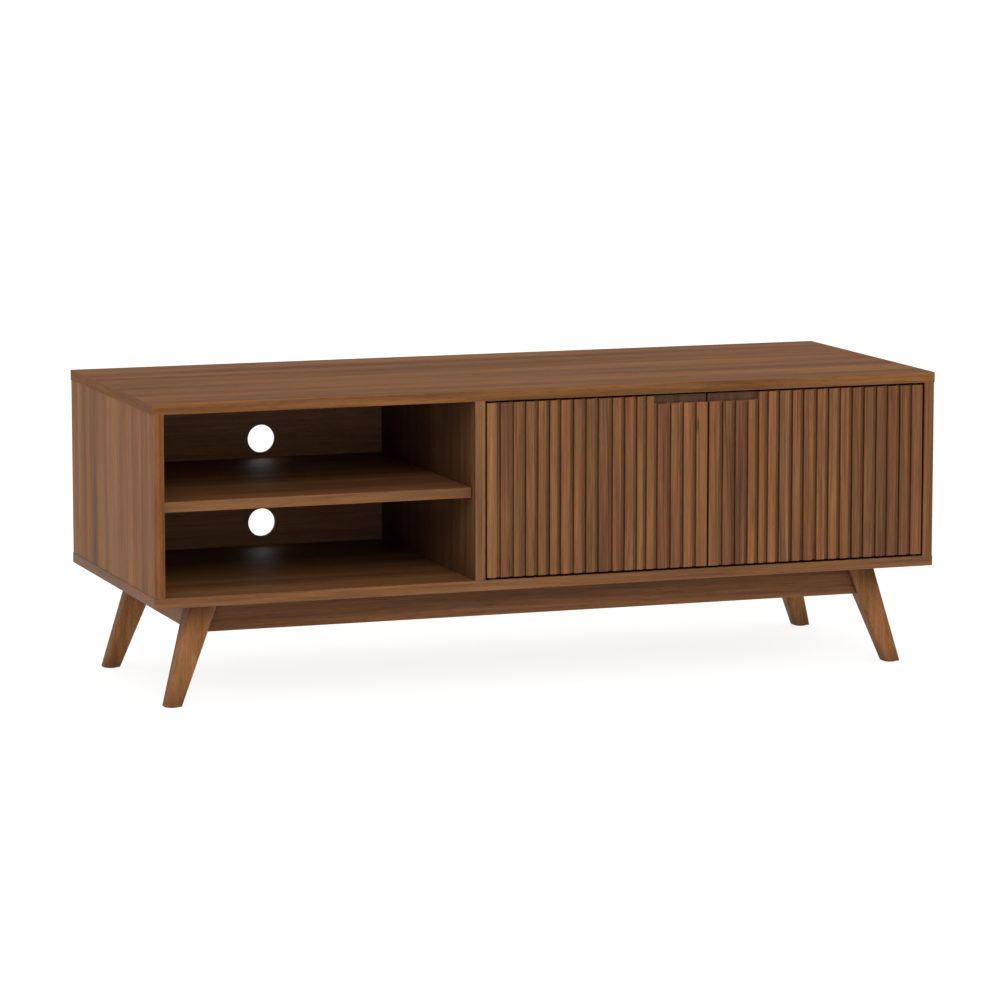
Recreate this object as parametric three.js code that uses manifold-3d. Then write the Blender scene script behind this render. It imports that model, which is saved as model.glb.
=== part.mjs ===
// Walnut media cabinet: two open bays on the left, two fluted doors on the right, splayed legs.
// Millimetres, +Z up. Origin on the floor, under the middle of the cabinet. The front faces -Y.
import * as THREE from 'three';
import { mergeVertices } from 'three/addons/utils/BufferGeometryUtils.js';
import Module from 'manifold-3d';

const wasm = await Module();
wasm.setup();

// ---- Driving dimensions ----

// Case
const WIDTH = 1200;
const DEPTH = 460;
const CASE_HEIGHT = 290;
const BOARD = 15;
const END_OVERHANG = 1;         // top and bottom boards past the side panels
const BAY_WIDTH = 462;          // clear width of the open bays
const LOWER_BAY_HEIGHT = 119;   // clear height under the shelf
const SHELF_SETBACK = 16;
const SHELF_END_GAP = 0.5;

// Back boards, held in a groove
const BACK_BOARD = 5;
const BACK_INSET = 23;          // from the cabinet's rear face to the back boards
const GROOVE_DEPTH = 6;
const GROOVE_PLAY = 0.3;
const BACK_JOINT_GAP = 1;
const BACK_STRIP = { width: 24, thickness: 2 };
const CABLE_HOLE_R = 21;
const CABLE_HOLE_X = 271;       // hole centres from the inside of the left panel
const UPPER_HOLE_HEIGHT = 28.5; // and above the board below them
const LOWER_HOLE_HEIGHT = 35;

// Doors: a fluted facing on a plain board. Slat widths are in proportion, from left to right.
const DOOR_GAP = 3;
const DOOR_BOARD = 10;
const FLUTE_WIDTH = 6;
const FLUTE_DEPTH = 6;
const FLUTE_WEB = 2;            // facing left behind the flutes
const SLAT_ARRIS = 0.6;         // chamfer along the slats' front edges
const LEFT_SLATS = [15, 14, 13, 13, 12, 11, 14, 13, 13, 16, 13, 13, 9, 11, 15, 14, 14, 17];
const RIGHT_SLATS = [16, 14, 14, 11, 9, 12, 15, 12, 15, 13, 13, 13, 13, 14, 12, 14, 13, 17];
const PULL_SLATS = 4;           // slats cut short at the top corner for the finger pull
const PULL_HEIGHT = 11.5;

// Door pivots: a pin in each end of the door's outer edge, turning in a flanged bush
const PIVOT_FROM_EDGE = 10;
const PIVOT_FROM_FRONT = 7;
const PIN_R = 2.5;
const PIN_IN_DOOR = 12;
const PIN_IN_BUSH = 8;
const RUNNING_GAP = 0.1;        // pin in bush, on the radius
const BUSH_WALL = 2;
const BUSH_END = 2;             // closed end past the pin
const BUSH_FLANGE = 1;          // flange past the bush's wall
const UPPER_FLANGE_THICKNESS = 1.2;
const LIFT_GAP = 0.3;           // door above the lower bush, and pin above the bush's closed end

// Magnetic catch behind the meeting edges, with a strike plate on each door
const CATCH = { width: 46, depth: 13, height: 12 };
const CATCH_EAR = { width: 8, thickness: 3 };
const MAGNET = { width: 15, height: 8, proud: 1 };
const MAGNET_SPACING = 24;
const STRIKE = { width: 18, thickness: 1, height: 10 };
const CATCH_GAP = 0.4;

// Base
const LEG_HEIGHT = 150.5;
const LEG_TOP = { width: 41.4, side: 71, face: 56.7 };  // side and face: in from the cabinet's
const LEG_FOOT = { width: 25.4, side: 28, face: 47 };   // side and from its front or rear
const LEG_CORNER_R = 6.5;
const PAD_R = 9;
const PAD_THICKNESS = 1.5;
const RAIL_HEIGHT = 47.5;
const RAIL_BOARD = 18;
const APRON_OUT = 3.2;          // rails' middles outward from the middle of the leg's top
const SIDE_RAIL_OUT = 8.2;
const JOINT_GAP = 0.3;

// Corner blocks and the bolts through them into the legs
const BLOCK_SIDE = 72;
const BLOCK_HEIGHT = 38;
const BLOCK_LEG_GAP = 1.5;
const BOLT_R = 4;
const BOLT_DROP = 22;           // below the underside of the case
const BOLT_IN_LEG = 22;         // past the leg's inner corner
const BOLT_END = 12;            // past the block
const WASHER = { radius: 9, thickness: 1.6 };
const NUT = { radius: 7.5, thickness: 6.5 };

// Shelf supports and cam fittings
const SUPPORT = { width: 10, height: 10, reach: 13, thickness: 2 };
const SUPPORT_PIN_R = 2.5;
const SUPPORT_PIN_LENGTH = 8;
const SUPPORT_FROM_END = 75;
const CAM_R = 7.5;
const CAM_WALL = 2.5;           // board left behind a cam's bore
const CAM_DROP = 24;
const CAM_BOLT_R = 3;
const CAM_BOLT_IN_TOP = 9;
const CAM_FROM_END = 90;

const BORE_PLAY = 0.1;          // bore round a fixed pin or bush, on the radius
const BORE_END = 0.5;           // bore past the end of what it holds
const CUT_PAST = 1;             // a cut runs this far out of the surface it starts on

// ---- Planes and places worked out from them ----

const around = (middle, width) => [middle - width / 2, middle + width / 2];

const FRONT = -DEPTH / 2;
const REAR = DEPTH / 2;
const RIGHT = WIDTH / 2;
const CASE_BOTTOM = PAD_THICKNESS + LEG_HEIGHT;
const CASE_TOP = CASE_BOTTOM + CASE_HEIGHT;
const FLOOR_TOP = CASE_BOTTOM + BOARD;
const CEILING = CASE_TOP - BOARD;
const SIDE_OUT = RIGHT - END_OVERHANG;
const SIDE_IN = SIDE_OUT - BOARD;
const DIVIDER_LEFT = -SIDE_IN + BAY_WIDTH;
const DIVIDER_RIGHT = DIVIDER_LEFT + BOARD;
const DIVIDER_MID = (DIVIDER_LEFT + DIVIDER_RIGHT) / 2;
const SHELF_BOTTOM = FLOOR_TOP + LOWER_BAY_HEIGHT;
const SHELF_TOP = SHELF_BOTTOM + BOARD;
const BACK_REAR = REAR - BACK_INSET;
const BACK_FRONT = BACK_REAR - BACK_BOARD;
const GROOVE_Y = [BACK_FRONT - GROOVE_PLAY, BACK_REAR + GROOVE_PLAY];
const GROOVE_END = SIDE_IN + GROOVE_DEPTH;

const DOOR_WIDTH = (SIDE_IN - DIVIDER_RIGHT - 3 * DOOR_GAP) / 2;
const DOOR_Z = [FLOOR_TOP + DOOR_GAP, CEILING - DOOR_GAP];
const FACING_BACK = FRONT + FLUTE_DEPTH + FLUTE_WEB;
const DOOR_BACK = FACING_BACK + DOOR_BOARD;
const LEFT_DOOR_X = [DIVIDER_RIGHT + DOOR_GAP, DIVIDER_RIGHT + DOOR_GAP + DOOR_WIDTH];
const RIGHT_DOOR_X = [SIDE_IN - DOOR_GAP - DOOR_WIDTH, SIDE_IN - DOOR_GAP];
const MEETING_X = (LEFT_DOOR_X[1] + RIGHT_DOOR_X[0]) / 2;
const PIVOT_Y = FRONT + PIVOT_FROM_FRONT;
const PIVOT_X = { left: LEFT_DOOR_X[0] + PIVOT_FROM_EDGE, right: RIGHT_DOOR_X[1] - PIVOT_FROM_EDGE };
const BUSH_R = PIN_R + RUNNING_GAP + BUSH_WALL;
const BUSH_DEPTH = PIN_IN_BUSH + LIFT_GAP + BUSH_END;

// Rails' faces, in from the cabinet's front or rear and from its side.
const APRON_Y = around(LEG_TOP.face + LEG_TOP.width / 2 - APRON_OUT, RAIL_BOARD);
const SIDE_RAIL_X = around(LEG_TOP.side + LEG_TOP.width / 2 - SIDE_RAIL_OUT, RAIL_BOARD);

// Each corner of the base, with the way to it from the middle.
const CORNERS = {
  front_left: { sx: -1, sy: -1 },
  front_right: { sx: 1, sy: -1 },
  rear_left: { sx: -1, sy: 1 },
  rear_right: { sx: 1, sy: 1 },
};

// Each upright board, with the face its cam locks are let into and the way they go in.
const UPRIGHTS = {
  left_side: { middle: -(SIDE_IN + SIDE_OUT) / 2, camFace: -SIDE_IN, inward: -1 },
  divider: { middle: DIVIDER_MID, camFace: DIVIDER_RIGHT, inward: -1 },
  right_side: { middle: (SIDE_IN + SIDE_OUT) / 2, camFace: SIDE_IN, inward: 1 },
};
const CAM_DEPTH = BOARD - CAM_WALL - BORE_END;
const CAM_Z = CEILING - CAM_DROP;
const CAM_YS = { front: FRONT + CAM_FROM_END, rear: BACK_FRONT - CAM_FROM_END };

// Each end of the shelf, with the face its supports are on and the way out from that face.
const SHELF_ENDS = {
  left: { face: -SIDE_IN, out: 1 },
  right: { face: DIVIDER_LEFT, out: -1 },
};
const SUPPORT_YS = { front: FRONT + SHELF_SETBACK + SUPPORT_FROM_END, rear: BACK_FRONT - SUPPORT_FROM_END };

// ---- Materials ----

function finish(color, roughness, metalness = 0) {
  return new THREE.MeshStandardMaterial({ color, roughness, metalness });
}

const walnutBoard = () => finish(0x7c5637, 0.5);
const walnutFacing = () => finish(0x76523a, 0.5);
const walnutSolid = () => finish(0x8a5a35, 0.45);
const thinBoard = () => finish(0x5a3f2c, 0.6);
const blockWood = () => finish(0xc39a68, 0.7);
const zincSteel = () => finish(0xb9bbbd, 0.35, 0.9);
const blackPlastic = () => finish(0x1c1c1c, 0.5);
const feltPad = () => finish(0x2b2622, 0.95);

// ---- Geometry ----

function solidOf(geometry) {
  const plain = geometry.clone();
  plain.deleteAttribute('normal');
  plain.deleteAttribute('uv');
  const merged = mergeVertices(plain, 1e-4);
  return new wasm.Manifold(new wasm.Mesh({
    numProp: 3,
    vertProperties: merged.attributes.position.array,
    triVerts: merged.index.array,
  }));
}

function geometryOf(solid) {
  const mesh = solid.getMesh();
  const geometry = new THREE.BufferGeometry();
  geometry.setAttribute('position', new THREE.BufferAttribute(mesh.vertProperties, 3));
  geometry.setIndex(new THREE.BufferAttribute(mesh.triVerts, 1));
  return geometry;
}

function cut(geometry, tools) {
  const take = (solid, tool) => solid.subtract(solidOf(tool));
  return geometryOf(tools.reduce(take, solidOf(geometry)));
}

function join(geometries) {
  const add = (solid, other) => solid.add(other);
  return geometryOf(geometries.map(solidOf).reduce(add));
}

// Gives every point of a geometry the place that a function works out for it.
function place(geometry, placeOf) {
  const { position } = geometry.attributes;
  for (let i = 0; i < position.count; i += 1) {
    position.setXYZ(i, ...placeOf(position.getX(i), position.getY(i), position.getZ(i)));
  }
  return geometry;
}

const sorted = (a, b) => (a < b ? [a, b] : [b, a]);

function box(xs, ys, zs) {
  const end = (value, ends) => sorted(...ends)[value < 0 ? 0 : 1];
  return place(new THREE.BoxGeometry(1, 1, 1), (x, y, z) => [end(x, xs), end(y, ys), end(z, zs)]);
}

// A prism standing on a plan outline of [x, y] points.
function standing(points, zs) {
  const outline = new THREE.Shape(points.map(([x, y]) => new THREE.Vector2(x, y)));
  const geometry = new THREE.ExtrudeGeometry(outline, { depth: 1, bevelEnabled: false });
  return place(geometry, (x, y, z) => [x, y, z < 0.5 ? zs[0] : zs[1]]);
}

// A plate seen from the side as an outline of [y, z] points, with its thickness along X.
function plateAlongX(points, xs) {
  return place(standing(points, sorted(...xs)), (y, z, x) => [x, y, z]);
}

// A plate seen from the front as an outline of [x, z] points, with its thickness along Y.
function plateAlongY(points, ys) {
  return place(standing(points.map(([x, z]) => [z, x]), sorted(...ys)), (z, x, y) => [x, y, z]);
}

// A round bar between two points.
function bar(radius, from, to, sides = 24) {
  const start = new THREE.Vector3(...from);
  const along = new THREE.Vector3(...to).sub(start);
  const geometry = new THREE.CylinderGeometry(radius, radius, along.length(), sides);
  const turn = new THREE.Quaternion().setFromUnitVectors(
    new THREE.Vector3(0, 1, 0), along.clone().normalize());
  const middle = start.addScaledVector(along, 0.5);
  return geometry.applyQuaternion(turn).translate(middle.x, middle.y, middle.z);
}

function piece(group, name, geometry, material) {
  const mesh = new THREE.Mesh(geometry, material);
  mesh.name = name;
  group.add(mesh);
}

// ---- Cam fittings: a bolt hangs from the top board into each upright, and a cam pulls it down ----

function camFittings(upright) {
  const { middle, camFace, inward } = UPRIGHTS[upright];
  return Object.entries(CAM_YS).map(([where, y]) => {
    const bolt = (radius, from, to) => bar(radius, [middle, y, from], [middle, y, to]);
    const cam = (radius, from, to) => bar(
      radius, [camFace + inward * from, y, CAM_Z], [camFace + inward * to, y, CAM_Z]);
    const boltTop = CEILING + CAM_BOLT_IN_TOP;
    return {
      name: `${upright}_${where}`,
      bolt: bolt(CAM_BOLT_R, CAM_Z, boltTop),
      boltBore: bolt(CAM_BOLT_R + BORE_PLAY, CAM_Z - BORE_END, boltTop + BORE_END),
      cam: cam(CAM_R, 0, CAM_DEPTH),
      camBore: cam(CAM_R + BORE_PLAY, -CUT_PAST, CAM_DEPTH + BORE_END),
    };
  });
}

function addCamFittings(group) {
  for (const upright of Object.keys(UPRIGHTS)) {
    for (const fitting of camFittings(upright)) {
      piece(group, `cam_bolt_${fitting.name}`, fitting.bolt, zincSteel());
      piece(group, `cam_lock_${fitting.name}`, cut(fitting.cam, [fitting.boltBore]), zincSteel());
    }
  }
}

const camBores = (upright) => camFittings(upright).flatMap(({ camBore, boltBore }) => [camBore, boltBore]);

// ---- Shelf and its supports ----

function shelfSupports(end) {
  const { face, out } = SHELF_ENDS[end];
  const pinZ = SHELF_BOTTOM - SUPPORT.height / 2;
  return Object.entries(SUPPORT_YS).map(([where, y]) => {
    const pin = (radius, length) => bar(
      radius, [face + out * SUPPORT.thickness / 2, y, pinZ], [face - out * length, y, pinZ]);
    const ys = around(y, SUPPORT.width);
    return {
      name: `${end}_${where}_shelf_support`,
      bore: pin(SUPPORT_PIN_R + BORE_PLAY, SUPPORT_PIN_LENGTH + BORE_END),
      support: join([
        box([face, face + out * SUPPORT.thickness], ys, [SHELF_BOTTOM - SUPPORT.height, SHELF_BOTTOM]),
        box([face, face + out * SUPPORT.reach], ys, [SHELF_BOTTOM - SUPPORT.thickness, SHELF_BOTTOM]),
        pin(SUPPORT_PIN_R, SUPPORT_PIN_LENGTH),
      ]),
    };
  });
}

const supportBores = (end) => shelfSupports(end).map(({ bore }) => bore);

function addShelf(group) {
  const shelf = box(
    [-SIDE_IN + SHELF_END_GAP, DIVIDER_LEFT - SHELF_END_GAP],
    [FRONT + SHELF_SETBACK, BACK_FRONT - SHELF_END_GAP],
    [SHELF_BOTTOM, SHELF_TOP]);
  piece(group, 'bay_shelf', shelf, walnutBoard());
  for (const end of Object.keys(SHELF_ENDS)) {
    for (const { name, support } of shelfSupports(end)) piece(group, name, support, zincSteel());
  }
}

// ---- Door pivots ----

// A bush let into a board's face, closed at its far end, with a flange on the face.
function bush(x, face, intoBoard, flangeThickness) {
  const flangeR = BUSH_R + BUSH_FLANGE;
  const boreR = PIN_R + RUNNING_GAP;
  const boreEnd = BUSH_END - BUSH_DEPTH;
  const profile = [
    [0, -BUSH_DEPTH], [BUSH_R, -BUSH_DEPTH], [BUSH_R, 0], [flangeR, 0],
    [flangeR, flangeThickness], [boreR, flangeThickness], [boreR, boreEnd], [0, boreEnd],
  ];
  const geometry = new THREE.LatheGeometry(profile.map(([r, h]) => new THREE.Vector2(r, h)), 24);
  return geometry.rotateX(-intoBoard * Math.PI / 2).translate(x, PIVOT_Y, face);
}

const bushBore = (x, face, intoBoard) => bar(
  BUSH_R + BORE_PLAY,
  [x, PIVOT_Y, face - intoBoard * CUT_PAST],
  [x, PIVOT_Y, face + intoBoard * (BUSH_DEPTH + BORE_END)]);

const bushBores = (face, intoBoard) => Object.values(PIVOT_X).map((x) => bushBore(x, face, intoBoard));

function addBushes(group) {
  for (const [side, x] of Object.entries(PIVOT_X)) {
    piece(group, `${side}_door_lower_bush`, bush(x, FLOOR_TOP, -1, DOOR_GAP - LIFT_GAP), blackPlastic());
    piece(group, `${side}_door_upper_bush`, bush(x, CEILING, 1, UPPER_FLANGE_THICKNESS), blackPlastic());
  }
}

// ---- Case ----

function addCase(group) {
  const grooveAcross = (zs) => box([-GROOVE_END, GROOVE_END], GROOVE_Y, zs);
  const board = (zs) => box([-RIGHT, RIGHT], [FRONT, REAR], zs);
  const boltBores = Object.keys(UPRIGHTS).flatMap(camFittings).map(({ boltBore }) => boltBore);
  piece(group, 'top_panel', cut(board([CEILING, CASE_TOP]), [
    grooveAcross([CEILING - CUT_PAST, CEILING + GROOVE_DEPTH]),
    ...bushBores(CEILING, 1),
    ...boltBores,
  ]), walnutBoard());
  piece(group, 'bottom_panel', cut(board([CASE_BOTTOM, FLOOR_TOP]), [
    grooveAcross([FLOOR_TOP - GROOVE_DEPTH, FLOOR_TOP + CUT_PAST]),
    ...bushBores(FLOOR_TOP, -1),
  ]), walnutBoard());

  const sidePanel = (sign, bores) => {
    const groove = box(
      [sign * (SIDE_IN - CUT_PAST), sign * GROOVE_END],
      GROOVE_Y,
      [FLOOR_TOP - CUT_PAST, CEILING + CUT_PAST]);
    const panel = box([sign * SIDE_IN, sign * SIDE_OUT], [FRONT, REAR], [FLOOR_TOP, CEILING]);
    return cut(panel, [groove, ...bores]);
  };
  const leftBores = [...camBores('left_side'), ...supportBores('left')];
  piece(group, 'left_side_panel', sidePanel(-1, leftBores), walnutBoard());
  piece(group, 'right_side_panel', sidePanel(1, camBores('right_side')), walnutBoard());

  const divider = box([DIVIDER_LEFT, DIVIDER_RIGHT], [FRONT, BACK_FRONT], [FLOOR_TOP, CEILING]);
  const dividerBores = [...camBores('divider'), ...supportBores('right')];
  piece(group, 'centre_divider', cut(divider, dividerBores), walnutBoard());
}

function addBack(group) {
  const end = GROOVE_END - GROOVE_PLAY;
  const zs = [FLOOR_TOP - GROOVE_DEPTH + GROOVE_PLAY, CEILING + GROOVE_DEPTH - GROOVE_PLAY];
  const backBoard = (xs) => box(xs, [BACK_FRONT, BACK_REAR], zs);
  const joint = around(DIVIDER_MID, BACK_JOINT_GAP);
  const holeX = -SIDE_IN + CABLE_HOLE_X;
  const cableHole = (z) => bar(
    CABLE_HOLE_R, [holeX, BACK_FRONT - CUT_PAST, z], [holeX, BACK_REAR + CUT_PAST, z], 40);
  piece(group, 'left_back_panel', cut(backBoard([-end, joint[0]]), [
    cableHole(FLOOR_TOP + LOWER_HOLE_HEIGHT),
    cableHole(SHELF_TOP + UPPER_HOLE_HEIGHT),
  ]), thinBoard());
  piece(group, 'right_back_panel', backBoard([joint[1], end]), thinBoard());
  piece(group, 'back_joint_strip', box(
    around(DIVIDER_MID, BACK_STRIP.width),
    [BACK_REAR, BACK_REAR + BACK_STRIP.thickness],
    [FLOOR_TOP, CEILING]), blackPlastic());
}

// ---- Doors ----

// The left and right edge of each slat on a door whose left edge is at x.
function slatEdges(x, shares) {
  const slatTotal = DOOR_WIDTH - (shares.length - 1) * FLUTE_WIDTH;
  const shareTotal = shares.reduce((sum, share) => sum + share);
  let edge = x;
  return shares.map((share) => {
    const left = edge;
    const right = left + slatTotal * share / shareTotal;
    edge = right + FLUTE_WIDTH;
    return [left, right];
  });
}

function facing(xs, edges) {
  const outline = [[xs[0], FACING_BACK]];
  edges.forEach(([left, right], index) => {
    const arris = FRONT + SLAT_ARRIS;
    const floor = FRONT + FLUTE_DEPTH;
    if (index > 0) outline.push([left, floor]);
    outline.push([left, arris], [left + SLAT_ARRIS, FRONT], [right - SLAT_ARRIS, FRONT], [right, arris]);
    if (index < edges.length - 1) outline.push([right, floor]);
  });
  outline.push([xs[1], FACING_BACK]);
  return standing(outline, DOOR_Z);
}

function addDoor(group, side, xs, shares) {
  const isLeft = side === 'left';
  const x = PIVOT_X[side];
  const edges = slatEdges(xs[0], shares);
  const pullEnd = isLeft ? edges.at(-PULL_SLATS - 1)[1] : edges[PULL_SLATS][0];
  const pull = box(
    [pullEnd, isLeft ? xs[1] + CUT_PAST : xs[0] - CUT_PAST],
    [FRONT - CUT_PAST, FACING_BACK + CUT_PAST],
    [DOOR_Z[1] - PULL_HEIGHT, DOOR_Z[1] + CUT_PAST]);
  const pin = (radius, from, to) => bar(radius, [x, PIVOT_Y, from], [x, PIVOT_Y, to]);
  const pinBore = (end, inward) => pin(
    PIN_R + BORE_PLAY, end - inward * CUT_PAST, end + inward * (PIN_IN_DOOR + BORE_END));
  const bores = [pinBore(DOOR_Z[0], 1), pinBore(DOOR_Z[1], -1)];

  piece(group, `${side}_door_slats`, cut(facing(xs, edges), [pull, ...bores]), walnutFacing());
  piece(group, `${side}_door_board`, cut(box(xs, [FACING_BACK, DOOR_BACK], DOOR_Z), bores), walnutBoard());
  piece(group, `${side}_door_lower_pin`,
    pin(PIN_R, FLOOR_TOP - PIN_IN_BUSH, DOOR_Z[0] + PIN_IN_DOOR), zincSteel());
  piece(group, `${side}_door_upper_pin`,
    pin(PIN_R, DOOR_Z[1] - PIN_IN_DOOR, CEILING + PIN_IN_BUSH), zincSteel());

  const strikeX = MEETING_X + (isLeft ? -1 : 1) * MAGNET_SPACING / 2;
  piece(group, `${side}_door_strike`, box(
    around(strikeX, STRIKE.width),
    [DOOR_BACK, DOOR_BACK + STRIKE.thickness],
    [DOOR_Z[1] - STRIKE.height, DOOR_Z[1]]), zincSteel());
}

function addCatch(group) {
  const magnetFront = DOOR_BACK + STRIKE.thickness + CATCH_GAP;
  const bodyFront = magnetFront + MAGNET.proud;
  const bodyYs = [bodyFront, bodyFront + CATCH.depth];
  const magnet = (side) => box(
    around(MEETING_X + side * MAGNET_SPACING / 2, MAGNET.width),
    [magnetFront, bodyFront + MAGNET.proud],
    around(CEILING - CATCH.height / 2, MAGNET.height));
  const earXs = around(MEETING_X, CATCH.width + 2 * CATCH_EAR.width);
  piece(group, 'magnetic_catch', join([
    box(around(MEETING_X, CATCH.width), bodyYs, [CEILING - CATCH.height, CEILING]),
    box(earXs, bodyYs, [CEILING - CATCH_EAR.thickness, CEILING]),
    magnet(-1),
    magnet(1),
  ]), blackPlastic());
}

// ---- Base ----

// The leg's square section at a height: how far its four faces are in from the cabinet's sides.
function legSection(z) {
  const share = (CASE_BOTTOM - z) / LEG_HEIGHT;
  const at = (key) => THREE.MathUtils.lerp(LEG_TOP[key], LEG_FOOT[key], share);
  const width = at('width');
  return { width, outer: at('side'), inner: at('side') + width, near: at('face'), far: at('face') + width };
}

function roundedSquare(half, radius) {
  const flat = half - radius;
  const outline = new THREE.Shape();
  outline.absarc(flat, flat, radius, 0, Math.PI / 2);
  outline.absarc(-flat, flat, radius, Math.PI / 2, Math.PI);
  outline.absarc(-flat, -flat, radius, Math.PI, 3 * Math.PI / 2);
  outline.absarc(flat, -flat, radius, 3 * Math.PI / 2, 2 * Math.PI);
  return outline;
}

function leg({ sx, sy }) {
  const outline = roundedSquare(LEG_TOP.width / 2, LEG_CORNER_R);
  const geometry = new THREE.ExtrudeGeometry(
    outline, { depth: 1, bevelEnabled: false, curveSegments: 6 });
  const ends = [PAD_THICKNESS, CASE_BOTTOM];
  return place(geometry, (x, y, z) => {
    const height = ends[z < 0.5 ? 0 : 1];
    const section = legSection(height);
    const narrowing = (LEG_TOP.width - section.width) / 2;
    return [
      sx * (RIGHT - (section.outer + section.inner) / 2) + x - Math.sign(x) * narrowing,
      sy * (REAR - (section.near + section.far) / 2) + y - Math.sign(y) * narrowing,
      height,
    ];
  });
}

// The bolt's line: a point on it at a distance inward from the leg's inner corner.
function boltLine({ sx, sy }) {
  const z = CASE_BOTTOM - BOLT_DROP;
  const { inner, far } = legSection(z);
  const inward = new THREE.Vector3(-sx, -sy, 0).normalize();
  const legCorner = new THREE.Vector3(sx * (RIGHT - inner), sy * (REAR - far), z);
  const railCorner = new THREE.Vector3(sx * (RIGHT - SIDE_RAIL_X[1]), sy * (REAR - APRON_Y[1]), z);
  const blockFace = BLOCK_SIDE / Math.SQRT2 - legCorner.clone().sub(railCorner).dot(inward);
  return { blockFace, at: (distance) => legCorner.clone().addScaledVector(inward, distance) };
}

function boltBore(corner) {
  const { at, blockFace } = boltLine(corner);
  return bar(BOLT_R + BORE_PLAY, at(-BOLT_IN_LEG - BORE_END), at(blockFace + CUT_PAST));
}

// A bolt screwed into the leg, with the washer and nut that pull the leg against the block.
function legBolt(corner) {
  const { at, blockFace } = boltLine(corner);
  const washerFace = blockFace + JOINT_GAP;
  const nutFace = washerFace + WASHER.thickness;
  return join([
    bar(BOLT_R, at(-BOLT_IN_LEG), at(blockFace + BOLT_END)),
    bar(WASHER.radius, at(washerFace), at(nutFace)),
    bar(NUT.radius, at(nutFace - JOINT_GAP), at(nutFace + NUT.thickness), 6),
  ]);
}

// A block in the corner between apron and side rail, notched round the leg's inner corner.
function cornerBlock({ sx, sy }) {
  const { inner, far } = legSection(CASE_BOTTOM);
  const outline = [
    [inner + BLOCK_LEG_GAP, APRON_Y[1]],
    [SIDE_RAIL_X[1] + BLOCK_SIDE, APRON_Y[1]],
    [SIDE_RAIL_X[1], APRON_Y[1] + BLOCK_SIDE],
    [SIDE_RAIL_X[1], far + BLOCK_LEG_GAP],
    [inner + BLOCK_LEG_GAP, far + BLOCK_LEG_GAP],
  ];
  const plan = outline.map(([side, face]) => [sx * (RIGHT - side), sy * (REAR - face)]);
  return standing(plan, [CASE_BOTTOM - BLOCK_HEIGHT, CASE_BOTTOM]);
}

// Rails run from leg to leg, their ends cut to the slope of the legs.
function addRails(group) {
  const top = CASE_BOTTOM;
  const low = CASE_BOTTOM - RAIL_HEIGHT;
  const fromSide = (z) => RIGHT - legSection(z).inner - JOINT_GAP;
  const fromFace = (z) => REAR - legSection(z).far - JOINT_GAP;
  const outline = (reach) => [[-reach(low), low], [reach(low), low], [reach(top), top], [-reach(top), top]];
  for (const [end, sy] of Object.entries({ front: -1, rear: 1 })) {
    const ys = APRON_Y.map((y) => sy * (REAR - y));
    piece(group, `${end}_apron`, plateAlongY(outline(fromSide), ys), walnutSolid());
  }
  for (const [end, sx] of Object.entries({ left: -1, right: 1 })) {
    const xs = SIDE_RAIL_X.map((x) => sx * (RIGHT - x));
    piece(group, `${end}_side_rail`, plateAlongX(outline(fromFace), xs), walnutSolid());
  }
}

function addCorner(group, name, corner) {
  const { outer, inner, near, far } = legSection(PAD_THICKNESS);
  const x = corner.sx * (RIGHT - (outer + inner) / 2);
  const y = corner.sy * (REAR - (near + far) / 2);
  const bore = boltBore(corner);
  piece(group, `${name}_leg`, cut(leg(corner), [bore]), walnutSolid());
  piece(group, `${name}_corner_block`, cut(cornerBlock(corner), [bore]), blockWood());
  piece(group, `${name}_leg_bolt`, legBolt(corner), zincSteel());
  piece(group, `${name}_foot_pad`, bar(PAD_R, [x, y, 0], [x, y, PAD_THICKNESS]), feltPad());
}

// ---- The whole cabinet ----

const carcass = new THREE.Group();
const leftDoor = new THREE.Group();
const rightDoor = new THREE.Group();

addCase(carcass);
addBack(carcass);
addShelf(carcass);
addCamFittings(carcass);
addBushes(carcass);
addCatch(carcass);
addRails(carcass);
for (const [name, corner] of Object.entries(CORNERS)) addCorner(carcass, name, corner);
addDoor(leftDoor, 'left', LEFT_DOOR_X, LEFT_SLATS);
addDoor(rightDoor, 'right', RIGHT_DOOR_X, RIGHT_SLATS);

const cabinet = new THREE.Group();
cabinet.add(carcass, leftDoor, rightDoor);

export default cabinet;
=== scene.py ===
"""Looks for the walnut media cabinet: materials, slatted door facings, small hardware, light and camera.

Everything is in metres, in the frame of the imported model: +X right, +Y back, +Z up.
"""
import math
import random

import bmesh
import bpy
from mathutils import Matrix, Vector


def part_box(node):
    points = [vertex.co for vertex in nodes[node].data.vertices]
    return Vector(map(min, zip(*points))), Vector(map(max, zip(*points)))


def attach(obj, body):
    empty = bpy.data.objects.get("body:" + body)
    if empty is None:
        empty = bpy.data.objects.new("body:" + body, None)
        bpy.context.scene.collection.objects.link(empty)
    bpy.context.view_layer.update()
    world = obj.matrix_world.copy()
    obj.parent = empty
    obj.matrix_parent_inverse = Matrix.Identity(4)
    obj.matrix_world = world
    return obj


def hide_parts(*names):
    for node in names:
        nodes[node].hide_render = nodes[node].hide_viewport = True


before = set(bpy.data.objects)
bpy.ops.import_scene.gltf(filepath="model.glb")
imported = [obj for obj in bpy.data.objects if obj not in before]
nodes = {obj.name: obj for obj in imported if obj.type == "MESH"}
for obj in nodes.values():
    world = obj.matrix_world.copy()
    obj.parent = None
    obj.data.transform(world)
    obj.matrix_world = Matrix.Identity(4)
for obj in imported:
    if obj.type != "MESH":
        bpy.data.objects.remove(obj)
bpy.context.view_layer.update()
SEED = 7
draw = random.Random(SEED)

# ---- Sizes of what is added here, in metres ----

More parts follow.
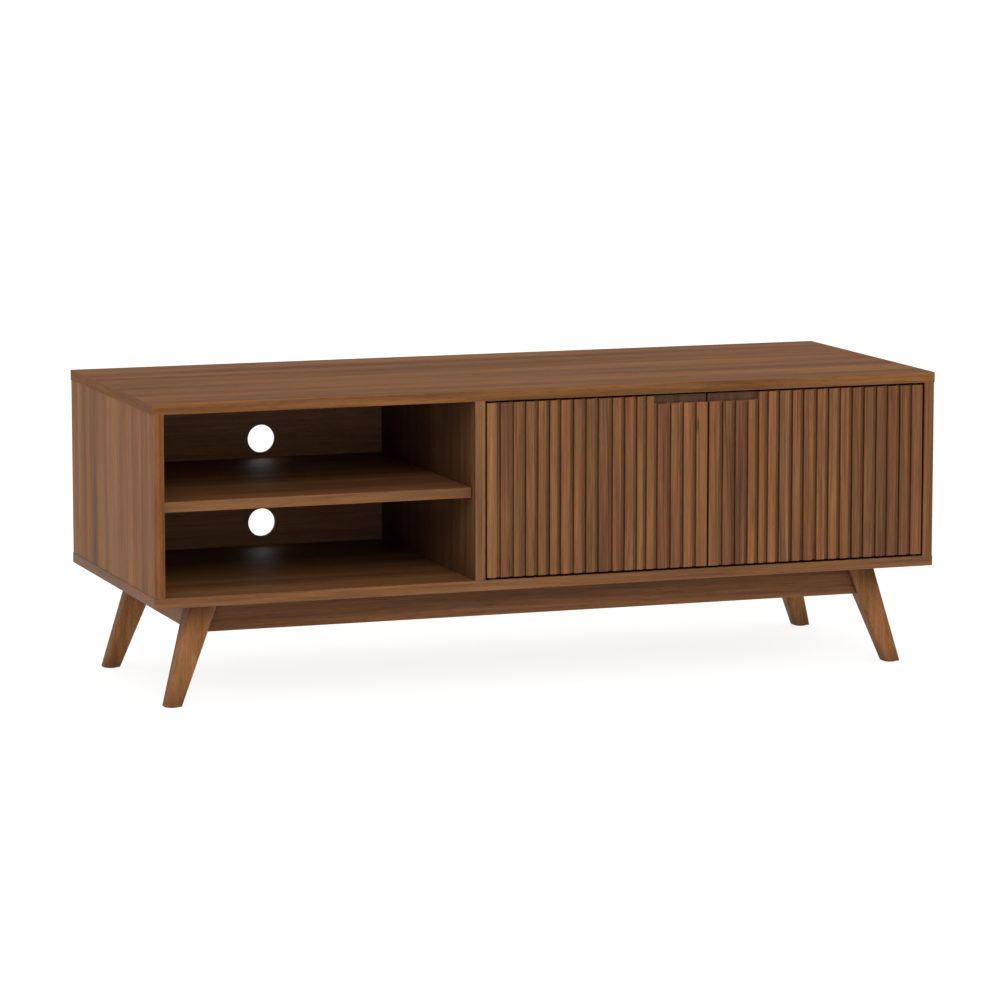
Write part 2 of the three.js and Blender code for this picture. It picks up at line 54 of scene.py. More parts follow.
BOARD_EASE = 0.0007          # rounding of the boards' arrises
BACK_EASE = 0.0004
LEG_EASE = 0.0016
SLAT_EASE = 0.0011
SLAT_SETBACK = 0.00012       # most that a slat's face lies behind the case's front
CASE_SCREW = {"radius": 0.0045, "height": 0.0006, "recess": "hex", "reach": 0.0020}
BASE_SCREW = {"radius": 0.0040, "height": 0.0022, "recess": "cross", "reach": 0.0021}
STRIP_SCREW = {"radius": 0.0034, "height": 0.0018, "recess": "cross", "reach": 0.0018}
CATCH_SCREW = {"radius": 0.0028, "height": 0.0014, "recess": "cross", "reach": 0.0015}
CAM_FACE = {"radius": 0.0070, "height": 0.0005, "recess": "cross", "reach": 0.0042}
CROSS_ARM = 0.28             # half width of a cross recess's arm, as a share of its reach
RECESS_DEPTH = 0.7           # of the head's height
HEAD_POINTS = 48
STRIP_SCREW_SHARES = (0.1, 0.5, 0.9)  # of the joint strip's height
CASE_SCREW_INSET = 0.045     # in from the case's front or rear
BASE_SCREW_NEAR = 0.010      # from the rail a corner block is fixed to
BASE_SCREW_FAR = 0.048
CORNERS = ("front_left", "front_right", "rear_left", "rear_right")

# ---- How edges are rounded, and how near counts as the same ----

EASE_SEGMENTS = 3
EDGE_TURN = math.radians(40)   # edges that turn more than this are rounded
FLAT_TURN = math.radians(0.5)  # facets that turn less than this are one flat face
SAME_POINT = 1e-5              # metres
ON_LEVEL = 2e-5                # metres from a level at which a point still lies on it

# ---- Camera ----

CAMERA_TARGET = Vector((-0.0846, -0.2300, 0.2831))
CAMERA_AZIMUTH = -19.60
CAMERA_ELEVATION = 8.11
CAMERA_DISTANCE = 6.636
CAMERA_LENS = 166.06         # on a 36 mm sensor


# ---- Shader nodes ----

class Shader:
    """A material's node tree, with short calls for the nodes that the finishes here are made of."""

    def __init__(self, name):
        self.material = bpy.data.materials.new(name)
        self.material.use_nodes = True
        self.tree = self.material.node_tree
        self.tree.nodes.clear()
        self.surface = self.add("ShaderNodeBsdfPrincipled")
        output = self.add("ShaderNodeOutputMaterial")
        self.tree.links.new(self.surface.outputs["BSDF"], output.inputs["Surface"])
        self.coordinates = self.add("ShaderNodeTexCoord")

    def add(self, kind, **settings):
        node = self.tree.nodes.new(kind)
        for key, value in settings.items():
            setattr(node, key, value)
        return node

    def put(self, socket, value):
        """Sets a socket to a value, or links it to another node's output."""
        if isinstance(value, bpy.types.NodeSocket):
            self.tree.links.new(value, socket)
        else:
            socket.default_value = value

    def math(self, operation, a, b=0.0, clamp=False):
        node = self.add("ShaderNodeMath", operation=operation, use_clamp=clamp)
        self.put(node.inputs[0], a)
        self.put(node.inputs[1], b)
        return node.outputs[0]

    def vector(self, operation, a, b):
        node = self.add("ShaderNodeVectorMath", operation=operation)
        self.put(node.inputs[0], a)
        self.put(node.inputs[1], b)
        return node.outputs[0]

    def split(self, vector):
        node = self.add("ShaderNodeSeparateXYZ")
        self.put(node.inputs[0], vector)
        return list(node.outputs)

    def joined(self, *parts):
        node = self.add("ShaderNodeCombineXYZ")
        for socket, part in zip(node.inputs, parts):
            self.put(socket, part)
        return node.outputs[0]

    def noise(self, vector, scale, detail=2.0, roughness=0.5, output="Fac"):
        """Noise at a scale per metre along each axis."""
        node = self.add("ShaderNodeTexNoise", noise_dimensions="3D")
        self.put(node.inputs["Vector"], self.vector("MULTIPLY", vector, scale))
        self.put(node.inputs["Scale"], 1.0)
        self.put(node.inputs["Detail"], detail)
        self.put(node.inputs["Roughness"], roughness)
        return node.outputs[output]

    def spread(self, value, low, high, to_low=0.0, to_high=1.0):
        node = self.add("ShaderNodeMapRange", interpolation_type="SMOOTHSTEP")
        for socket, setting in zip(node.inputs, (value, low, high, to_low, to_high)):
            self.put(socket, setting)
        return node.outputs[0]

    def ramp(self, value, stops):
        node = self.add("ShaderNodeValToRGB")
        elements = node.color_ramp.elements
        while len(elements) < len(stops):
            elements.new(0.5)
        for element, (position, colour) in zip(elements, stops):
            element.position = position
            element.color = (*colour, 1.0)
        self.put(node.inputs["Fac"], value)
        return node.outputs["Color"]

    def mix(self, share, a, b, blend="MIX"):
        node = self.add("ShaderNodeMix", data_type="RGBA", blend_type=blend)
        self.put(node.inputs["Factor"], share)
        self.put(node.inputs["A"], a if isinstance(a, bpy.types.NodeSocket) else (*a, 1.0))
        self.put(node.inputs["B"], b if isinstance(b, bpy.types.NodeSocket) else (*b, 1.0))
        return node.outputs["Result"]

    def mix_vectors(self, share, a, b):
        node = self.add("ShaderNodeMix", data_type="VECTOR")
        self.put(node.inputs["Factor"], share)
        self.put(node.inputs[4], a)
        self.put(node.inputs[5], b)
        return node.outputs[1]

    def closeness(self, reach, full=0.08, none=0.28):
        """How far a spot is shut in by what stands within reach of it: 0 in the open, 1 in a narrow gap."""
        node = self.add("ShaderNodeAmbientOcclusion", samples=4)
        self.put(node.inputs["Distance"], reach)
        return self.spread(node.outputs["AO"], full, none, 1.0, 0.0)

    def veins_and_knots(self, place):
        """Where thin dark veins run along the grain and where the few pin knots are."""
        veins = self.noise(place, (2.4, 330.0, 330.0), detail=1.0)
        veins = self.math("MULTIPLY", self.spread(veins, 0.60, 0.70), 0.55)
        cells = self.add("ShaderNodeTexVoronoi")
        self.put(cells.inputs["Vector"], self.vector("MULTIPLY", place, (9.0, 62.0, 62.0)))
        self.put(cells.inputs["Scale"], 1.0)
        knot = self.spread(cells.outputs["Distance"], 0.05, 0.16, 1.0, 0.0)
        chosen = self.math("GREATER_THAN", self.split(cells.outputs["Color"])[0], 0.82)
        return self.math("MAXIMUM", veins, self.math("MULTIPLY", knot, chosen))

    def edge_nearness(self, reach):
        """How near a spot is to an outside edge: 0 on the flat, rising to 1 on the arris."""
        node = self.add("ShaderNodeAmbientOcclusion", samples=4, inside=True)
        self.put(node.inputs["Distance"], reach)
        return self.spread(node.outputs["AO"], 0.35, 0.95, 1.0, 0.0)

    def bump(self, height, distance, strength=1.0):
        node = self.add("ShaderNodeBump")
        self.put(node.inputs["Height"], height)
        self.put(node.inputs["Distance"], distance)
        self.put(node.inputs["Strength"], strength)
        self.put(self.surface.inputs["Normal"], node.outputs["Normal"])


# ---- Finishes ----

WALNUT = [
    (0.20, (0.050, 0.021, 0.0090)),
    (0.38, (0.112, 0.047, 0.0180)),
    (0.54, (0.168, 0.073, 0.0275)),
    (0.70, (0.222, 0.100, 0.0385)),
    (0.86, (0.285, 0.136, 0.0550)),
]
PINE = [
    (0.1, (0.52, 0.33, 0.16)),
    (0.8, (0.44, 0.25, 0.11)),
    (1.0, (0.30, 0.15, 0.06)),
]
REDDISH = (1.10, 0.86, 0.74)
OLIVE = (0.95, 1.02, 0.84)
ALONG = {"X": (0, 1, 2), "Y": (1, 0, 2), "Z": (2, 0, 1)}


def grain_space(shader, grain, end_grain=None, seed=0.0):
    """Object space turned so that its first axis runs along the grain, and moved by the seed."""
    parts = shader.split(shader.coordinates.outputs["Object"])
    turned = shader.joined(*(parts[i] for i in ALONG[grain]))
    if end_grain:
        normal = shader.split(shader.coordinates.outputs["Normal"])[ALONG[grain][0]]
        on_end = shader.math("GREATER_THAN", shader.math("ABSOLUTE", normal), 0.7)
        across = shader.joined(*(parts[i] for i in ALONG[end_grain]))
        turned = shader.mix_vectors(on_end, turned, across)
    return shader.vector("ADD", turned, (seed * 3.1, seed * 1.7, seed * 2.3))


def walnut(name, grain, end_grain=None, seed=0.0, streak=1.0, lift=0.0, tint=(1, 1, 1),
           roughness=0.52, sheen=0.20, fineness=1.0, arris=0.0016,
           overhung=0.0, painted_front_shade=False, slats=False):
    """Oiled walnut: soft figure, streaks along the grain, dark pores, and a slight sheen.

    An arris is lighter within the given reach, partly wear and partly a painted highlight, and what lies
    under an overhang of that reach is darker with painted shade. Narrow gaps, flutes and, where asked, a
    board's front face get painted shade too.
    """
    shader = Shader(name)
    place = grain_space(shader, grain, end_grain, seed)
    tone_shift = lift
    if slats:
        slat = shader.add("ShaderNodeAttribute", attribute_name="slat")
        shift, tone, hue = shader.split(slat.outputs["Vector"])
        shift_along = shader.math("MULTIPLY", shift, 7.0)
        place = shader.vector("ADD", place, shader.joined(shift_along, shift, shift))
        tone_shift = shader.math("ADD", tone, lift)
    wander = shader.noise(place, (1.3, 7.0, 7.0), detail=2.0, output="Color")
    wander = shader.vector("SUBTRACT", wander, (0.5, 0.5, 0.5))
    place = shader.vector("ADD", place, shader.vector("MULTIPLY", wander, (0.0, 0.030, 0.030)))

    figure = shader.noise(place, (1.1, 30.0, 30.0), detail=3.0, roughness=0.55)
    streak_scale = (3.2 * fineness, 150.0 * fineness, 150.0 * fineness)
    streaks = shader.noise(place, streak_scale, detail=3.0, roughness=0.6)
    fibres = shader.noise(place, (18.0, 900.0, 900.0), detail=2.0, roughness=0.6)
    pores = shader.noise(place, (38.0, 1500.0, 1500.0), detail=1.0)

    tone = shader.math("MULTIPLY", shader.math("SUBTRACT", figure, 0.5), 0.85 * streak)
    more = shader.math("MULTIPLY", shader.math("SUBTRACT", streaks, 0.5), 0.75 * streak)
    fine = shader.math("MULTIPLY", shader.math("SUBTRACT", fibres, 0.5), 0.22)
    tone = shader.math("ADD", shader.math("ADD", tone, more), shader.math("ADD", fine, 0.52))
    tone = shader.math("ADD", tone, tone_shift)
    colour = shader.ramp(tone, WALNUT)

    warmth_scale = (2.2 * fineness ** 2, 52.0 * fineness, 52.0 * fineness)
    warmth = shader.noise(place, warmth_scale, detail=2.0)
    if slats:
        warmth = shader.math("ADD", warmth, hue)
    cast = shader.mix(shader.spread(warmth, 0.36, 0.64), OLIVE, REDDISH)
    colour = shader.mix(0.6 if slats else 0.35, colour, cast, "MULTIPLY")
    if slats:
        colour = shader.mix(shader.veins_and_knots(place), colour, (0.36, 0.30, 0.28), "MULTIPLY")
    dark_pores = shader.spread(pores, 0.60, 0.70)
    colour = shader.mix(shader.math("MULTIPLY", dark_pores, 0.5), colour, (0.045, 0.021, 0.012))
    colour = shader.mix(1.0, colour, tint, "MULTIPLY")
    # Lighter arrises: partly wear, and partly a painted highlight on rounded edges, most of all on the
    # legs.
    wear_and_highlight = shader.math("MULTIPLY", shader.edge_nearness(arris), shader.spread(figure, 0.35, 0.65, 0.15, 0.5))
    colour = shader.mix(wear_and_highlight, colour, (1.35, 1.3, 1.22), "MULTIPLY")
    # Painted shade: the front face is darkened to stand in for the shade inside the finger-pull recesses.
    if painted_front_shade:
        facing = shader.split(shader.coordinates.outputs["Normal"])[1]
        front = shader.spread(shader.math("MULTIPLY", facing, -1.0), 0.6, 0.8)
        colour = shader.mix(front, colour, (0.48, 0.52, 0.62), "MULTIPLY")
    # Painted shade: spots shut in by narrow gaps, flutes and inside corners are darkened.
    narrow = shader.closeness(0.012, 0.08, 0.36) if slats else shader.closeness(0.012)
    colour = shader.mix(narrow, colour, (0.09, 0.08, 0.08), "MULTIPLY")
    # Painted shade: what lies under an overhang within this reach is darkened.
    if overhung:
        overhang_shade = shader.closeness(overhung, 0.40, 0.95)
        colour = shader.mix(overhang_shade, colour, (0.42, 0.44, 0.48), "MULTIPLY")

    shader.put(shader.surface.inputs["Base Color"], colour)
    gloss = shader.spread(streaks, 0.3, 0.7, roughness - 0.05, roughness + 0.07)
    shader.put(shader.surface.inputs["Roughness"], gloss)
    shader.put(shader.surface.inputs["Specular IOR Level"], sheen)
    height = shader.math("SUBTRACT", shader.math("MULTIPLY", fibres, 0.4), dark_pores)
    shader.bump(height, 0.00012, 0.6)
    return shader.material


def pine(name, seed=0.0):
    """Planed pine, as the corner blocks are: pale, with darker late-wood lines."""
    shader = Shader(name)
    place = grain_space(shader, "X", seed=seed)
    wander = shader.noise(place, (3.0, 14.0, 14.0), detail=2.0, output="Color")
    wander = shader.vector("SUBTRACT", wander, (0.5, 0.5, 0.5))
    place = shader.vector("ADD", place, shader.vector("MULTIPLY", wander, (0.0, 0.02, 0.02)))
    rings = shader.add("ShaderNodeTexWave", wave_type="BANDS", bands_direction="Y",
                       wave_profile="SAW")
    shader.put(rings.inputs["Vector"], place)
    shader.put(rings.inputs["Scale"], 42.0)
    shader.put(rings.inputs["Distortion"], 1.2)
    fibres = shader.noise(place, (30.0, 700.0, 700.0), detail=2.0)
    tone = shader.math("ADD", rings.outputs["Fac"], shader.math("MULTIPLY", fibres, 0.35))
    colour = shader.ramp(tone, PINE)
    shader.put(shader.surface.inputs["Base Color"], colour)
    shader.put(shader.surface.inputs["Roughness"], shader.spread(fibres, 0.3, 0.7, 0.62, 0.75))
    shader.bump(fibres, 0.00015, 0.5)
    return shader.material


def steel(name, dark, light, shade_darkened=False):
    """Steel with a fine crystalline mottle and a little dulling, bare, or near black and without metal
    sheen as painted shade.
    """
    shader = Shader(name)
    place = shader.coordinates.outputs["Object"]
    mottle = shader.noise(place, (900.0, 900.0, 900.0), detail=3.0, roughness=0.6)
    dulling = shader.noise(place, (160.0, 160.0, 160.0), detail=2.0)
    colour = shader.ramp(mottle, [(0.3, dark), (0.7, light)])
    shader.put(shader.surface.inputs["Base Color"], colour)
    if shade_darkened:
        shader.put(shader.surface.inputs["Specular IOR Level"], 0.05)
    else:
        shader.put(shader.surface.inputs["Metallic"], 1.0)
    shader.put(shader.surface.inputs["Roughness"], shader.spread(dulling, 0.3, 0.7, 0.28, 0.46))
    shader.bump(mottle, 0.00003, 0.4)
    return shader.material


def black_plastic(name):
    """Moulded black plastic with a fine spark-eroded grain."""
    shader = Shader(name)
    place = shader.coordinates.outputs["Object"]
    grain = shader.noise(place, (2600.0, 2600.0, 2600.0), detail=2.0)
    cloud = shader.noise(place, (60.0, 60.0, 60.0), detail=2.0)
    colour = shader.ramp(cloud, [(0.3, (0.010, 0.010, 0.011)), (0.7, (0.022, 0.021, 0.020))])
    # Painted shade: crevices and spots in narrow gaps are darkened.
    colour = shader.mix(shader.closeness(0.008), colour, (0.15, 0.15, 0.15), "MULTIPLY")
    shader.put(shader.surface.inputs["Base Color"], colour)
    shader.put(shader.surface.inputs["Roughness"], shader.spread(grain, 0.3, 0.7, 0.42, 0.58))
    shader.put(shader.surface.inputs["Specular IOR Level"], 0.1)
    shader.bump(grain, 0.00004, 0.5)
    return shader.material


def felt(name):
    """Dark pressed felt, as the foot pads are."""
    shader = Shader(name)
    place = shader.coordinates.outputs["Object"]
    fluff = shader.noise(place, (2200.0, 2200.0, 2200.0), detail=4.0, roughness=0.7)
    patches = shader.noise(place, (240.0, 240.0, 240.0), detail=2.0)
    tone = shader.math("ADD", shader.math("MULTIPLY", fluff, 0.6), shader.math("MULTIPLY", patches, 0.4))
    shader.put(shader.surface.inputs["Base Color"],
               shader.ramp(tone, [(0.35, (0.012, 0.010, 0.009)), (0.65, (0.045, 0.038, 0.033))]))
    shader.put(shader.surface.inputs["Roughness"], 0.95)
    shader.put(shader.surface.inputs["Sheen Weight"], 0.3)
    shader.bump(fluff, 0.0003, 0.8)
    return shader.material


# ---- Carried-over CAD nodes: rounding and finish ----

def round_edges(piece, ease):
    rounding = piece.modifiers.new("rounding", "BEVEL")
    rounding.width = ease
    rounding.segments = EASE_SEGMENTS
    rounding.limit_method = "ANGLE"
    rounding.angle_limit = EDGE_TURN
    rounding.harden_normals = True


def dress(name, material, ease=0.0):
    """Gives a CAD node its finish, and rounds its sharp edges where ease is more than 0."""
    node = nodes[name]
    node.data.materials.clear()
    node.data.materials.append(material)
    if not ease:
        return
    weld = node.modifiers.new("weld", "WELD")
    weld.merge_threshold = SAME_POINT
    flatten = node.modifiers.new("flatten", "DECIMATE")
    flatten.decimate_type = "DISSOLVE"
    flatten.angle_limit = FLAT_TURN
    round_edges(node, ease)


def shade_round(name):
    """Lets light run smoothly over a node's rounded corners; none of its points move."""
    node = nodes[name]
    for face in node.data.polygons:
        face.use_smooth = True
    blend = node.modifiers.new("blend", "WEIGHTED_NORMAL")
    blend.mode = "FACE_AREA_WITH_ANGLE"
    blend.keep_sharp = True


def dress_boards():
    boards = {
        "top_panel": walnut("walnut_top", "X", "Y", seed=1.0, streak=0.85, tint=(1.02, 0.98, 0.92),
                            roughness=0.6, sheen=0.04),
        "bottom_panel": walnut("walnut_bottom", "X", "Y", seed=2.3, streak=0.8, sheen=0.14),
        "bay_shelf": walnut("walnut_shelf", "X", "Y", seed=3.1, streak=0.9, sheen=0.14),
        "left_side_panel": walnut("walnut_left_side", "Z", seed=4.4, streak=1.1, lift=0.04,
                                  tint=(1.02, 0.97, 0.88), sheen=0.06),
        "right_side_panel": walnut("walnut_right_side", "Z", seed=5.2, sheen=0.12),
        # The divider's overhung paints shade on its faces inside the bays.
        "centre_divider": walnut("walnut_divider", "Z", seed=6.7, overhung=0.12),
    }
    for name, finish in boards.items():
        dress(name, finish, BOARD_EASE)
    # Painted light: the back boards are much paler than the other boards, a brightening so that they still
    # read in the shade at the back of the bays.
    back = walnut("walnut_back", "X", seed=7.9, streak=0.6, tint=(1.9, 2.25, 3.0), roughness=0.62)
    # The door boards' darkened front face is painted shade for the finger-pull recesses.
    door_board = walnut("walnut_door_board", "Z", seed=9.3, streak=0.8, lift=-0.04, painted_front_shade=True)
    for side in ("left", "right"):
        dress(f"{side}_back_panel", back, BACK_EASE)
        dress(f"{side}_door_board", door_board, BOARD_EASE)


def dress_base():
    # overhung paints shade under the bottom panel on the aprons, side rails and legs.
    solid = dict(streak=0.8, roughness=0.40, overhung=0.05)
    paler = (1.05, 1.04, 1.10)
    aprons = walnut("walnut_rails", "X", seed=11.2, lift=-0.03, tint=(0.95, 0.98, 1.08), sheen=0.08,
                    **solid)
    side_rails = walnut("walnut_side_rails", "Y", seed=12.8, tint=paler, sheen=0.05, **solid)
    for end in ("front", "rear"):
        dress(f"{end}_apron", aprons, BOARD_EASE)
    for side in ("left", "right"):
        dress(f"{side}_side_rail", side_rails, BOARD_EASE)
    # The legs are nearly matt, because the pale floor puts a grey veil on them otherwise.
    for index, corner in enumerate(CORNERS):
        # The legs' wide arris lightening is a painted highlight on their rounded corners.
        leg = walnut(f"walnut_{corner}_leg", "Z", seed=14.0 + 1.9 * index, lift=0.12, tint=paler,
                     sheen=0.02, arris=0.009, **solid)
        dress(f"{corner}_leg", leg, LEG_EASE)
        shade_round(f"{corner}_leg")
        dress(f"{corner}_corner_block", pine(f"pine_{corner}", seed=0.7 * index), BOARD_EASE)
        dress(f"{corner}_foot_pad", FELT)
        dress(f"{corner}_leg_bolt", ZINC)


def dress_fittings():
    for name in nodes:
        if name.startswith("cam_") or name.endswith(("_strike", "_shelf_support")):
            dress(name, ZINC)
        # Pins get the near-black steel, painted shade so that they sit dark in the door gaps.
        if name.endswith("_pin"):
            dress(name, SHADE_DARKENED_STEEL)
        if name.endswith("_bush") or name in ("magnetic_catch", "back_joint_strip"):
            dress(name, PLASTIC)


# ---- Made pieces ----

def new_piece(name, mesh, body, material, ease=0.0):
    piece = bpy.data.objects.new(name, mesh)
    bpy.context.scene.collection.objects.link(piece)
    mesh.materials.append(material)
    if ease:
        round_edges(piece, ease)
    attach(piece, body)
    return piece


def block_mesh(name, low, high):
    """A closed six-sided block between two corners."""
    shape = bmesh.new()
    bmesh.ops.create_cube(shape, size=1.0)
    for vertex in shape.verts:
        vertex.co = Vector((low[i] if vertex.co[i] < 0 else high[i]) for i in range(3))
    mesh = bpy.data.meshes.new(name)
    shape.to_mesh(mesh)
    shape.free()
    return mesh


def levels(values):
    """The separate values in a list, to a hundredth of a millimetre, in order."""
    found = []
    for value in sorted(values):
        if not found or value - found[-1] > SAME_POINT:
            found.append(value)
    return found


def on_level(value, level):
    return abs(value - level) < ON_LEVEL


def slat_layout(door):
    """Each slat of a door as (left, right, top), with the flutes' floor, all read from its CAD node."""
    mesh = nodes[f"{door}_door_slats"].data
    points = [vertex.co for vertex in mesh.vertices]
    low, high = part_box(f"{door}_door_slats")
    behind = low.y + 0.001
    forward = [face for face in mesh.polygons if face.normal.y < -0.99 and face.center.y > behind]
    floor = max(forward, key=lambda face: face.area).center.y
    foot = [point for point in points if on_level(point.z, low.z)]
    inner = levels(point.x for point in foot if on_level(point.y, floor))
    edges = [low.x, *inner, high.x]
    slats = []
    for left, right in zip(edges[::2], edges[1::2]):
        face = [point for point in points if on_level(point.y, low.y) and left < point.x < right]
        slats.append((left, right, max(point.z for point in face)))
    return slats, floor


def door_facing(door):
    """The door's thin backing sheet and its glued-on slats, which stand for the CAD facing."""
    body = f"{door}_door"
    low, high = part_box(f"{door}_door_slats")
    slats, floor = slat_layout(door)
    cut = [slat for slat in slats if slat[2] < high.z - 1e-4]
    plain = [slat for slat in slats if slat[2] >= high.z - 1e-4]
    sheet_top = cut[0][2]
    name = f"{door}_facing_sheet"
    wide = block_mesh(name, (low.x, floor, low.z), (high.x, high.y, sheet_top))
    sheet = new_piece(name, wide, body, FLUTE_FLOOR)
    name = f"{door}_facing_upper_sheet"
    start, end = plain[0][0], plain[-1][1]
    above = block_mesh(name, (start, floor, sheet_top), (end, high.y, high.z))
    new_piece(name, above, body, FLUTE_FLOOR)
    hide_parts(f"{door}_door_slats")
    for index, (left, right, top) in enumerate(slats, start=1):
        name = f"{door}_slat_{index:02d}"
        front = low.y + draw.uniform(0.0, SLAT_SETBACK)
        mesh = block_mesh(name, (left, front, low.z), (right, floor, top))
        slat = mesh.attributes.new("slat", "FLOAT_VECTOR", "POINT")
        own = (draw.uniform(0, 9), draw.uniform(-0.035, 0.035), draw.uniform(-0.09, 0.09))
        for value in slat.data:
            value.vector = own
        new_piece(name, mesh, body, SLAT, SLAT_EASE)


def recess_outline(kind, reach, angle):
    """How far a recess reaches from the middle of a head at an angle."""
    if kind == "hex":
        off = (angle + math.pi / 6) % (math.pi / 3) - math.pi / 6
        return reach * math.cos(math.pi / 6) / math.cos(off)
    off = (angle + math.pi / 4) % (math.pi / 2) - math.pi / 4
    along = reach / math.cos(off)
    side = CROSS_ARM * reach / max(abs(math.sin(off)), 1e-6)
    return min(along, side)


def head_mesh(name, centre, outward, radius, height, recess, reach):
    """A domed round head with a driver's recess, standing on a surface at centre."""
    turn = Vector(outward).to_track_quat("Z", "Y").to_matrix().to_4x4()
    stand = Matrix.Translation(centre) @ turn
    angles = [2 * math.pi * i / HEAD_POINTS for i in range(HEAD_POINTS)]
    inner = [recess_outline(recess, reach, angle) for angle in angles]
    floor = height * (1 - RECESS_DEPTH)
    rings = [
        ([radius] * HEAD_POINTS, 0.0),
        ([radius] * HEAD_POINTS, 0.45 * height),
        ([0.93 * radius] * HEAD_POINTS, 0.8 * height),
        ([0.80 * radius] * HEAD_POINTS, height),
        (inner, height),
        ([0.96 * r for r in inner], floor),
    ]
    shape = bmesh.new()
    loops = []
    for radii, z in rings:
        loops.append([
            shape.verts.new(stand @ Vector((r * math.cos(a), r * math.sin(a), z)))
            for r, a in zip(radii, angles)])
    for below, above in zip(loops, loops[1:]):
        for i in range(HEAD_POINTS):
            j = (i + 1) % HEAD_POINTS
            shape.faces.new((below[i], below[j], above[j], above[i]))
    shape.faces.new(list(reversed(loops[0])))
    middle = shape.verts.new(stand @ Vector((0, 0, floor)))
    for i in range(HEAD_POINTS):
        shape.faces.new((loops[-1][i], loops[-1][(i + 1) % HEAD_POINTS], middle))
    mesh = bpy.data.meshes.new(name)
    shape.to_mesh(mesh)
    shape.free()
    return mesh


def add_head(name, centre, outward, size):
    new_piece(name, head_mesh(name, centre, outward, **size), "carcass", ZINC)


def middle_of(low, high):
    return (low + high) / 2


def add_screws():
    board_low, board_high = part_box("bottom_panel")
    uprights = {"left": "left_side_panel", "middle": "centre_divider", "right": "right_side_panel"}
    for place, upright in uprights.items():
        x = middle_of(*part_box(upright)).x
        ends = {"front": board_low.y + CASE_SCREW_INSET, "rear": board_high.y - CASE_SCREW_INSET}
        for end, y in ends.items():
            add_head(f"case_screw_{place}_{end}", (x, y, board_low.z), (0, 0, -1), CASE_SCREW)
    for corner in CORNERS:
        low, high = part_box(f"{corner}_corner_block")
        x, inward_x = (low.x, 1) if "left" in corner else (high.x, -1)
        y, inward_y = (low.y, 1) if "front" in corner else (high.y, -1)
        spots = ((BASE_SCREW_FAR, BASE_SCREW_NEAR), (BASE_SCREW_NEAR, BASE_SCREW_FAR))
        for index, (u, v) in enumerate(spots, start=1):
            spot = (x + inward_x * u, y + inward_y * v, low.z)
            add_head(f"base_screw_{corner}_{index}", spot, (0, 0, -1), BASE_SCREW)


def add_fitting_details():
    low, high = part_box("back_joint_strip")
    for index, share in enumerate(STRIP_SCREW_SHARES, start=1):
        spot = (middle_of(low, high).x, high.y, low.z + share * (high.z - low.z))
        add_head(f"strip_screw_{index}", spot, (0, 1, 0), STRIP_SCREW)
    low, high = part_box("magnetic_catch")
    ears = [v.co for v in nodes["magnetic_catch"].data.vertices if abs(v.co.x - low.x) < SAME_POINT]
    ear_bottom = min(point.z for point in ears)
    ear_middle = (nearest_past(low.x, "magnetic_catch") - low.x) / 2
    for side, x in (("left", low.x + ear_middle), ("right", high.x - ear_middle)):
        add_head(f"catch_screw_{side}", (x, middle_of(low, high).y, ear_bottom), (0, 0, -1), CATCH_SCREW)
    for name in nodes:
        if name.startswith("cam_lock_"):
            low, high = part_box(name)
            middle = middle_of(low, high)
            on_right = "right" in name
            spot = (low.x if on_right else high.x, middle.y, middle.z)
            add_head(name.replace("lock", "face"), spot, (-1 if on_right else 1, 0, 0), CAM_FACE)


def nearest_past(x, name):
    """The next x beyond a given one at which a node has vertices."""
    return min(v.co.x for v in nodes[name].data.vertices if v.co.x > x + 1e-4)


# ---- Stage, light and camera ----

def lay_floor():
    mesh = bpy.data.meshes.new("studio_floor")
    half = 40.0
    corners = [(-half, -half, 0), (half, -half, 0), (half, half, 0), (-half, half, 0)]
    mesh.from_pydata(corners, [], [(0, 1, 2, 3)])
    floor = bpy.data.objects.new("studio_floor", mesh)
    bpy.context.scene.collection.objects.link(floor)
    shader = Shader("studio_floor")
    shader.put(shader.surface.inputs["Base Color"], (0.24, 0.24, 0.24, 1.0))
    shader.put(shader.surface.inputs["Roughness"], 0.95)
    shader.put(shader.surface.inputs["Specular IOR Level"], 0.0)
    shader.put(shader.surface.inputs["Emission Color"], (1.0, 1.0, 1.0, 1.0))
    shader.put(shader.surface.inputs["Emission Strength"], 0.85)
    mesh.materials.append(shader.material)


def soft_light(name, place, target, size, power):
    data = bpy.data.lights.new(name, "AREA")
    data.shape = "RECTANGLE"
    data.size, data.size_y = size
    data.energy = power
    light = bpy.data.objects.new(name, data)
    bpy.context.scene.collection.objects.link(light)
    light.location = place
    light.rotation_mode = "QUATERNION"
    light.rotation_quaternion = (Vector(target) - Vector(place)).to_track_quat("-Z", "Y")
    return light


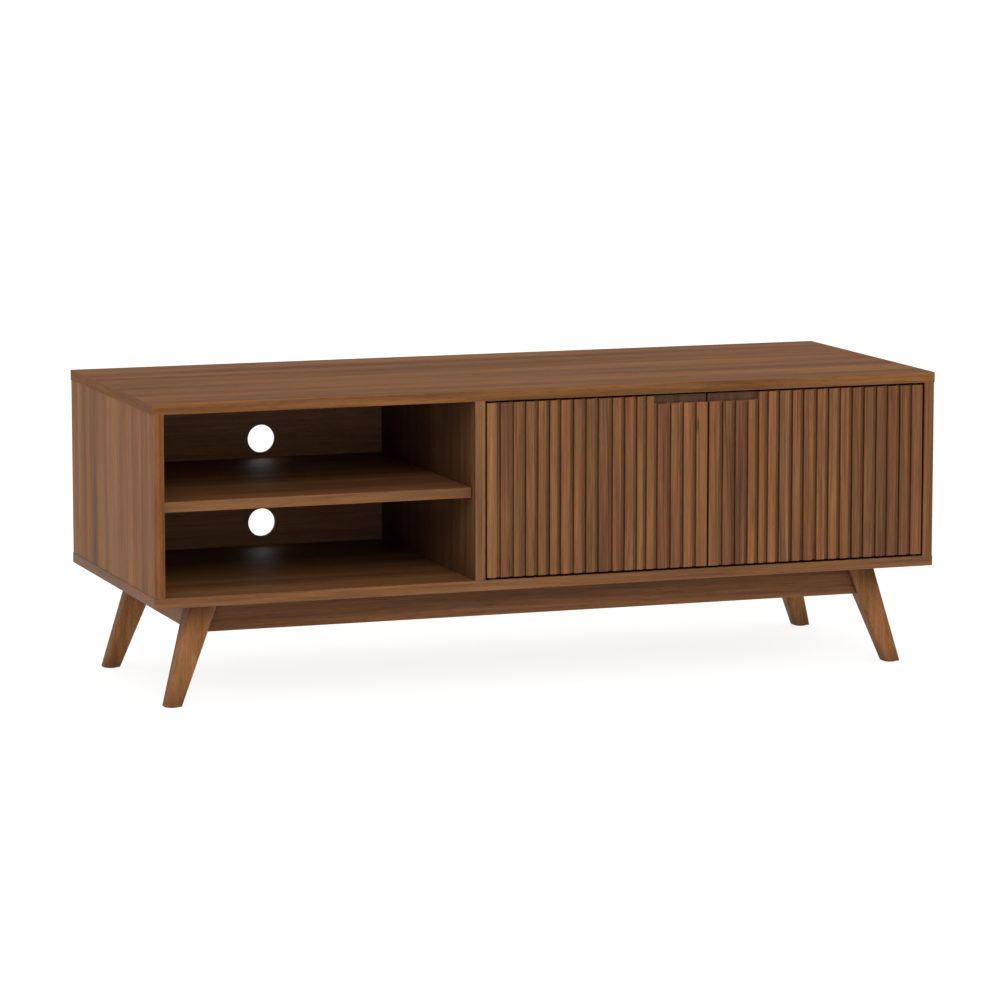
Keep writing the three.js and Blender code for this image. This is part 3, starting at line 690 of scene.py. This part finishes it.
def light_studio():
    """A soft dome that is brightest overhead and in front of the cabinet, and dim low down."""
    world = bpy.data.worlds.new("studio")
    bpy.context.scene.world = world
    world.use_nodes = True
    tree = world.node_tree
    background = tree.nodes["Background"]
    background.inputs["Color"].default_value = (1.0, 1.0, 1.0, 1.0)
    direction = tree.nodes.new("ShaderNodeTexCoord")
    height = tree.nodes.new("ShaderNodeSeparateXYZ")
    tree.links.new(direction.outputs["Generated"], height.inputs[0])
    strength = tree.nodes.new("ShaderNodeMapRange")
    strength.interpolation_type = "SMOOTHSTEP"
    tree.links.new(height.outputs["Z"], strength.inputs["Value"])
    for key, value in (("From Min", 0.05), ("From Max", 0.65), ("To Min", 0.45), ("To Max", 1.05)):
        strength.inputs[key].default_value = value
    tree.links.new(strength.outputs["Result"], background.inputs["Strength"])
    soft_light("side_strip", place=(-3.2, -1.3, 1.0), target=(0, -0.2, 0.25), size=(0.6, 1.6), power=8)
    soft_light("key", place=(-0.9, -4.8, 3.2), target=(0, 0, 0.25), size=(3.4, 2.2), power=110)


def set_camera():
    azimuth, elevation = math.radians(CAMERA_AZIMUTH), math.radians(CAMERA_ELEVATION)
    back = Vector((
        math.sin(azimuth) * math.cos(elevation),
        -math.cos(azimuth) * math.cos(elevation),
        math.sin(elevation)))
    data = bpy.data.cameras.new("camera")
    data.lens = CAMERA_LENS
    data.sensor_width = 36.0
    data.clip_end = 200.0
    camera = bpy.data.objects.new("camera", data)
    bpy.context.scene.collection.objects.link(camera)
    camera.location = CAMERA_TARGET + back * CAMERA_DISTANCE
    camera.rotation_mode = "QUATERNION"
    camera.rotation_quaternion = (-back).to_track_quat("-Z", "Y")
    bpy.context.scene.camera = camera


bpy.context.scene.view_settings.view_transform = "Standard"
set_camera()
light_studio()
lay_floor()

ZINC = steel("zinc_steel", dark=(0.42, 0.43, 0.45), light=(0.62, 0.62, 0.61))
# The hinge pins' near-black, non-metal steel is painted shade for the dark door gaps.
SHADE_DARKENED_STEEL = steel("greased_steel", dark=(0.020, 0.019, 0.018), light=(0.050, 0.047, 0.043), shade_darkened=True)
PLASTIC = black_plastic("black_plastic")
FELT = felt("felt")
SLAT = walnut("walnut_slats", "Z", seed=8.1, streak=0.95, fineness=1.9, tint=(1.02, 0.98, 0.93),
              slats=True)
FLUTE_FLOOR = walnut("walnut_flute_floor", "Z", seed=10.4, streak=0.6, roughness=0.6)

dress_boards()
dress_base()
dress_fittings()
for door in ("left", "right"):
    door_facing(door)
add_screws()
add_fitting_details()
